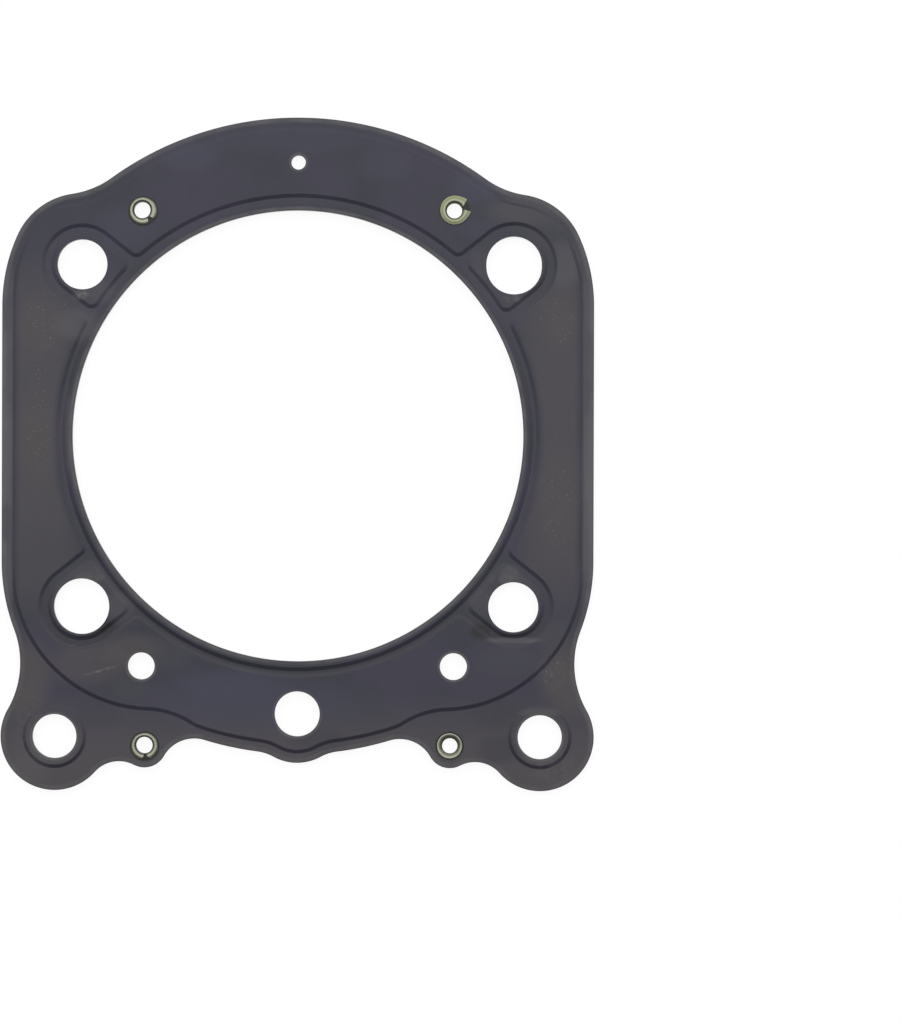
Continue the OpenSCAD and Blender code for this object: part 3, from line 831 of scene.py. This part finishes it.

# %% Hazy, rubbed and scratched spots, and spots of painted shade and highlight: place, half size, strength, colour, pattern
FRESH = "#24242F"
BLUISH = "#35364B"
PALE = "#38383F"
WARM = "#474142"
GREY = "#555357"
RUBBED = "#5B5655"
SCRATCHED = "#7A726E"
PAINTED_SHADE = "#08080E"
spots = [
    (0, 66, 34, 4.5, 0.3, BLUISH, "haze"),
    (-24, 62, 9, 4.5, 0.5, BLUISH, "haze"),
    (-38, 46, 9, 7, 0.5, BLUISH, "haze"),
    (39, 55, 8, 5, 0.5, BLUISH, "haze"),
    (40, 46, 6, 3.5, 0.4, BLUISH, "flats"),
    (19, 60, 8, 5, 0.4, BLUISH, "haze"),
    (50, 50, 11, 5, 0.35, GREY, "flats"),
    (55, 45.5, 9, 7, 0.35, PALE, "haze"),
    (59, 38, 5.5, 7, 0.4, GREY, "flats"),
    (-49, 24.5, 7, 5, 0.4, GREY, "haze"),
    (-57, 24, 7, 9, 0.4, WARM, "haze"),
    (-57.5, -1, 6, 15, 0.5, WARM, "haze"),
    (-57, -26, 7, 8, 0.2, FRESH, "haze"),
    (58, 26, 5, 9, 0.4, WARM, "haze"),
    (58, -14, 6, 15, 0.5, WARM, "haze"),
    (65, -8, 2.6, 16, 0.6, GREY, "haze"),
    (64.6, 15, 2, 11, 0.45, PALE, "haze"),
    (-65, -4, 2.6, 16, 0.5, GREY, "haze"),
    (-64.6, -19, 2, 6, 0.4, FRESH, "haze"),
    (-64.6, 27, 2, 6, 0.35, FRESH, "haze"),
    (-48, 34, 11, 9, 0.35, PALE, "haze"),
    (48, 34, 11, 9, 0.35, PALE, "haze"),
    (-46, -35, 11, 9, 0.5, PALE, "haze"),
    (46, -35, 11, 9, 0.4, PALE, "haze"),
    (-44, 32, 4.5, 3.5, 0.25, GREY, "haze"),
    (41, 38, 4.5, 4.5, 0.2, GREY, "haze"),
    (-46, -30.5, 4, 3, 0.2, GREY, "haze"),
    (47, -30.5, 3, 2.5, 0.4, GREY, "haze"),
    (-39, -38, 4.5, 4.5, 0.25, GREY, "haze"),
    (41, -37, 4.5, 4.5, 0.15, GREY, "haze"),
    (0, -50.7, 26, 2.2, 0.35, FRESH, "haze"),
    (-51, 0, 1.2, 14, 0.2, RUBBED, "haze"),
    (-60.5, -54, 8, 12, 0.7, WARM, "flats"),
    (60.5, -54, 9, 11, 0.7, WARM, "flats"),
    (57, -44.5, 6, 5, 0.6, PALE, "flats"),
    (-36.5, -47.5, 9, 5, 0.6, WARM, "flats"),
    (-46, -50.5, 13, 6.5, 0.55, WARM, "flats"),
    (47, -50, 11, 5, 0.4, PALE, "haze"),
    # Painted highlight: a light line along the crest of the bead below the lower right stud hole.
    (48, -45.2, 8, 1, 0.6, GREY, "haze"),
    (-8, -59.5, 36, 8, 0.45, BLUISH, "haze"),
    (-15, -55.5, 15, 5.5, 0.55, BLUISH, "haze"),
    (-37, -56, 6, 3.5, 0.4, PALE, "haze"),
    (-29.5, -48.5, 8, 5, 0.4, PALE, "flats"),
    (5, -67.5, 9, 3.5, 0.4, FRESH, "haze"),
    (-44, -62, 7, 4.5, 0.25, FRESH, "haze"),
    (44, -62, 7, 4.5, 0.35, FRESH, "haze"),
    (45, -69.5, 7, 4.5, 0.5, FRESH, "haze"),
    (-60, -74, 7, 6, 0.25, GREY, "haze"),
    (53.8, -61.3, 6, 1.3, 0.35, RUBBED, "haze"),
    (-48.2, 31.1, 2.4, 1.3, 0.8, SCRATCHED, "grain"),
    (47.5, 30.6, 3, 1.4, 0.5, RUBBED, "grain"),
    (-46, -31.6, 5, 1.6, 0.5, RUBBED, "grain"),
    (46, -31.8, 5, 1.6, 0.45, RUBBED, "grain"),
    (-59.5, -64, 5, 12, 0.2, RUBBED, "grain"),
    (57, -74, 8, 5, 0.3, RUBBED, "grain"),
    (57, -52.5, 5, 5, 0.25, RUBBED, "grain"),
    (-44, -50, 14, 6, 0.6, SCRATCHED, "streaks"),
    (57, -52, 6, 5, 0.6, SCRATCHED, "specks"),
    (-57.5, 5, 5, 20, 0.5, SCRATCHED, "specks"),
    (-56, 26, 7, 9, 0.5, SCRATCHED, "specks"),
    (57.5, -14, 5, 18, 0.5, SCRATCHED, "specks"),
    (57, 25, 6, 9, 0.4, SCRATCHED, "specks"),
    # Painted shade: dark crescents below the two lower stud holes, on the flanks that face away from the
    # light.
    (-42.5, -42.4, 3, 2.2, 0.75, PAINTED_SHADE, "haze"),
    (40.6, -43.3, 3.2, 2.4, 0.85, PAINTED_SHADE, "haze"),
    (-46, -44.2, 6, 1.4, 0.3, PAINTED_SHADE, "haze"),
    (47.5, -43.9, 6, 1.3, 0.4, PAINTED_SHADE, "haze"),
]
unmarked = coat_colour
for spot_x, spot_y, half_x, half_y, strength, hex_code, pattern in spots:
    zone = oval(tree, place, spot_x, spot_y, half_x, half_y, strength)
    if pattern != "haze":
        zone = add(tree, "Math", {0: zone, 1: patterns[pattern]}, operation="MULTIPLY").outputs[0]
    coat_colour = add(tree, "Mix", {0: zone, 6: coat_colour, 7: colour(hex_code)},
                      data_type="RGBA").outputs[2]
upper_side = add(tree, "Math", {0: z, 1: stack_middle}, operation="GREATER_THAN").outputs[0]
coat_colour = add(tree, "Mix", {0: upper_side, 6: unmarked, 7: coat_colour},
                  data_type="RGBA").outputs[2]
print("Spots:", len(spots))

# %% Painted shadow round the feet of the eyelets, painted shade on the cut lips, and the surface of the coat
# Painted shadow: a dark ring round the foot of each rolled rim, centred on the rim.
for rim in eyelet_rims.values():
    middle = rim.place + rim.shift
    away = add(tree, "VectorMath", {0: place, 1: (middle.real, middle.imag, top_z)}, operation="DISTANCE")
    foot = add(tree, "MapRange", {"Value": away.outputs["Value"], 1: rim.r + 0.4, 2: rim.r},
               interpolation_type="SMOOTHSTEP").outputs[0]
    coat_colour = add(tree, "Mix", {0: foot, 6: coat_colour, 7: colour(PAINTED_SHADE)}, data_type="RGBA").outputs[2]
# Painted shade: the cut lips and walls are darkened into a dark line along every cut edge.
lip = add(tree, "MapRange", {"Value": mark, 1: 0.95, 2: 1}).outputs[0]
coat_colour = add(tree, "Mix", {0: lip, 6: coat_colour, 7: colour("#202024")}, data_type="RGBA").outputs[2]
grain = add(tree, "TexNoise", {"Vector": place, "Scale": 1 / rubber_grain_w, "Detail": 3}).outputs[0]
bump = add(tree, "Bump", {"Height": grain, "Strength": 0.5, "Distance": 0.006 * MM}).outputs[0]
rough = add(tree, "MapRange", {"Value": grain, 1: 0.3, 2: 0.7, 3: 0.37, 4: 0.45}).outputs[0]
tree.links.new(coat_colour, shader.inputs["Base Color"])
tree.links.new(rough, shader.inputs["Roughness"])
tree.links.new(bump, shader.inputs["Normal"])
shader.inputs["IOR"].default_value = 1.45
print("Coating nodes:", len(tree.nodes))

# %% [markdown]
# ## Cold rolled steel
# The spacer is bare. Only its sheared edge shows: light grey metal with fine lines across the sheet.
# The real lines are finer still. These are 0.13 mm wide, so that they show in a close view.

# %% The spacer's steel
shear_w = 0.13
shear_length = 2.2
steel, tree, shader, place = new_material("cold_rolled_steel")
sheared = add(tree, "VectorMath", {0: place, 1: (1 / shear_w, 1 / shear_w, 1 / shear_length)},
              operation="MULTIPLY").outputs[0]
lines = add(tree, "TexNoise", {"Vector": sheared, "Scale": 1, "Detail": 2}).outputs[0]
rough = add(tree, "MapRange", {"Value": lines, 1: 0.3, 2: 0.7, 3: 0.3, 4: 0.5}).outputs[0]
tree.links.new(rough, shader.inputs["Roughness"])
shader.inputs["Base Color"].default_value = colour("#A8A8A8")
shader.inputs["Metallic"].default_value = 1
print("Steel nodes:", len(tree.nodes))

# %% [markdown]
# ## Rolled brass
# The eyelets are yellow brass that has gone dull and greenish with age, the upper right one most of
# all. A highlight is painted along the crest and the lip of each rim, shade is painted in and near
# the bore, and a fine unevenness from the rolling breaks up its reflections. It is drawn one point of the
# picture wide.

# %% The brass
tarnish_w = 1.1
roll_grain_w = 0.2
brass, tree, shader, place = new_material("aged_rolled_brass")
patches = add(tree, "TexNoise", {"Vector": place, "Scale": 1 / tarnish_w, "Detail": 2}).outputs[0]
tarnish = add(tree, "MapRange", {"Value": patches, 1: 0.4, 2: 0.65},
              interpolation_type="SMOOTHSTEP").outputs[0]
brass_colour = add(tree, "Mix", {0: tarnish, 6: colour("#7A7B6B"), 7: colour("#696A5C")},
                   data_type="RGBA").outputs[2]
green_zone = oval(tree, place, upper_eyelet.real, upper_eyelet.imag, 12, 12)
brass_colour = add(tree, "Mix", {0: green_zone, 6: brass_colour, 7: colour("#7B8062")},
                   data_type="RGBA").outputs[2]
# Painted highlight on the crests and lips of the rims, and painted shade in and near the bores.
polish = add(tree, "Attribute", attribute_name="polish").outputs["Fac"]
painted_bore_shade = add(tree, "Math", {0: polish, 1: -1}, operation="MULTIPLY").outputs[0]
for share, hex_code in ((polish, "#9FA192"), (painted_bore_shade, "#5A5B4B")):
    share = add(tree, "Clamp", {0: share}).outputs[0]
    brass_colour = add(tree, "Mix", {0: share, 6: brass_colour, 7: colour(hex_code)},
                       data_type="RGBA").outputs[2]
fine = add(tree, "TexNoise", {"Vector": place, "Scale": 1 / roll_grain_w, "Detail": 3}).outputs[0]
bump = add(tree, "Bump", {"Height": fine, "Strength": 0.6, "Distance": 0.01 * MM}).outputs[0]
tree.links.new(brass_colour, shader.inputs["Base Color"])
tree.links.new(bump, shader.inputs["Normal"])
shader.inputs["Metallic"].default_value = 1
shader.inputs["Roughness"].default_value = 0.4
print("Brass nodes:", len(tree.nodes))

# %% [markdown]
# ## Finish, place and stand-in of each piece
# Each piece stands for one imported node, which is hidden, and gets its finish. The name of the record's
# material slot is listed beside it but not used.

# %% Dress the pieces
dress = {
    "upper_bead_layer": (upper_layer, coat, "rubber_coated_steel"),
    "lower_bead_layer": (lower_layer, coat, "rubber_coated_steel"),
    "spacer_layer": (spacer_blank, steel, "spacer_steel"),
}
dress.update({node: (piece, brass, "eyelet_brass") for node, piece in eyelet_pieces.items()})
for node, (piece, material, slot) in dress.items():
    piece.data.materials.append(material)
    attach(piece, "root")
    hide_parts(node)
print("Dressed:", len(dress))

# %% [markdown]
# ## Floor and light
# The gasket lies on a white table, on the heads of its eyelets. The table is white for the camera
# and still takes the soft shadow of the gasket. One large softbox hangs above, leaning toward the
# rounded edge, so that the flanks of the beads that face away from it go dark. The room adds an
# even, dimmer light from all sides.

# %% The table
floor_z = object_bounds()[0].z
floor_half = 1.5
floor_mesh = bpy.data.meshes.new("table")
floor_corners = [(-floor_half, -floor_half), (floor_half, -floor_half),
                 (floor_half, floor_half), (-floor_half, floor_half)]
floor_mesh.from_pydata([(*corner_xy, floor_z) for corner_xy in floor_corners], [], [(0, 1, 2, 3)])
floor = bpy.data.objects.new("table", floor_mesh)
bpy.context.scene.collection.objects.link(floor)

table = bpy.data.materials.new("white_table")
table.use_nodes = True
tree = table.node_tree
shader = tree.nodes["Principled BSDF"]
shader.inputs["Base Color"].default_value = (0.8, 0.8, 0.8, 1)
shader.inputs["Roughness"].default_value = 0.9
path = add(tree, "LightPath").outputs
seen = path["Is Camera Ray"]
for ray in ("Is Glossy Ray", "Is Transmission Ray"):
    seen = add(tree, "Math", {0: seen, 1: path[ray]}, operation="MAXIMUM").outputs[0]
seen = add(tree, "Math", {0: seen, 1: 0.85}, operation="MULTIPLY").outputs[0]
glow = add(tree, "Emission", {"Color": (1, 1, 1, 1), "Strength": 1.06}).outputs[0]
mixed = add(tree, "MixShader", {0: seen, 1: shader.outputs[0], 2: glow}).outputs[0]
tree.links.new(mixed, tree.nodes["Material Output"].inputs["Surface"])
floor_mesh.materials.append(table)
print(f"Table at {floor_z / MM:.2f} mm")

# %% Softbox and room
softbox = bpy.data.lights.new("softbox", "AREA")
softbox.shape = "RECTANGLE"
softbox.size = 4.9
softbox.size_y = 3.3
softbox_radiance = 1.4
softbox.energy = softbox_radiance * pi * softbox.size * softbox.size_y
softbox_lamp = bpy.data.objects.new("softbox", softbox)
lean = radians(26)
softbox_reach = 2.2
softbox_lamp.location = (0, softbox_reach * sin(lean), softbox_reach * cos(lean))
softbox_lamp.rotation_euler = (-lean, 0, 0)
bpy.context.scene.collection.objects.link(softbox_lamp)

world = bpy.data.worlds.new("room")
bpy.context.scene.world = world
world.use_nodes = True
world.node_tree.nodes["Background"].inputs["Color"].default_value = (0.27, 0.27, 0.27, 1)
print("Softbox and room are on")

# %% [markdown]
# ## Camera
# The photograph looks straight down. Its picture is 902 by 1024 points, 0.2216 mm each on the upper
# field of the gasket. The gasket lies in its left part, so the camera stands to the right of the
# fire opening, and it is turned by a seventh of a degree.

# %% The camera
picture_h = 226.9
camera_distance = 700
camera_x = 33.99
camera_y = -16.80
camera_turn = 0.0026
film = 36
camera = bpy.data.cameras.new("camera")
camera.sensor_fit = "VERTICAL"
camera.sensor_height = film
camera.lens = film * camera_distance / picture_h
camera_object = bpy.data.objects.new("camera", camera)
camera_object.location = Vector((camera_x, camera_y, top_z + camera_distance)) * MM
camera_object.rotation_euler = (0, 0, camera_turn)
bpy.context.scene.collection.objects.link(camera_object)
bpy.context.scene.camera = camera_object
bpy.context.scene.view_settings.view_transform = "Standard"
print(f"Lens of {camera.lens:.0f} mm, {camera_distance} mm above the gasket")
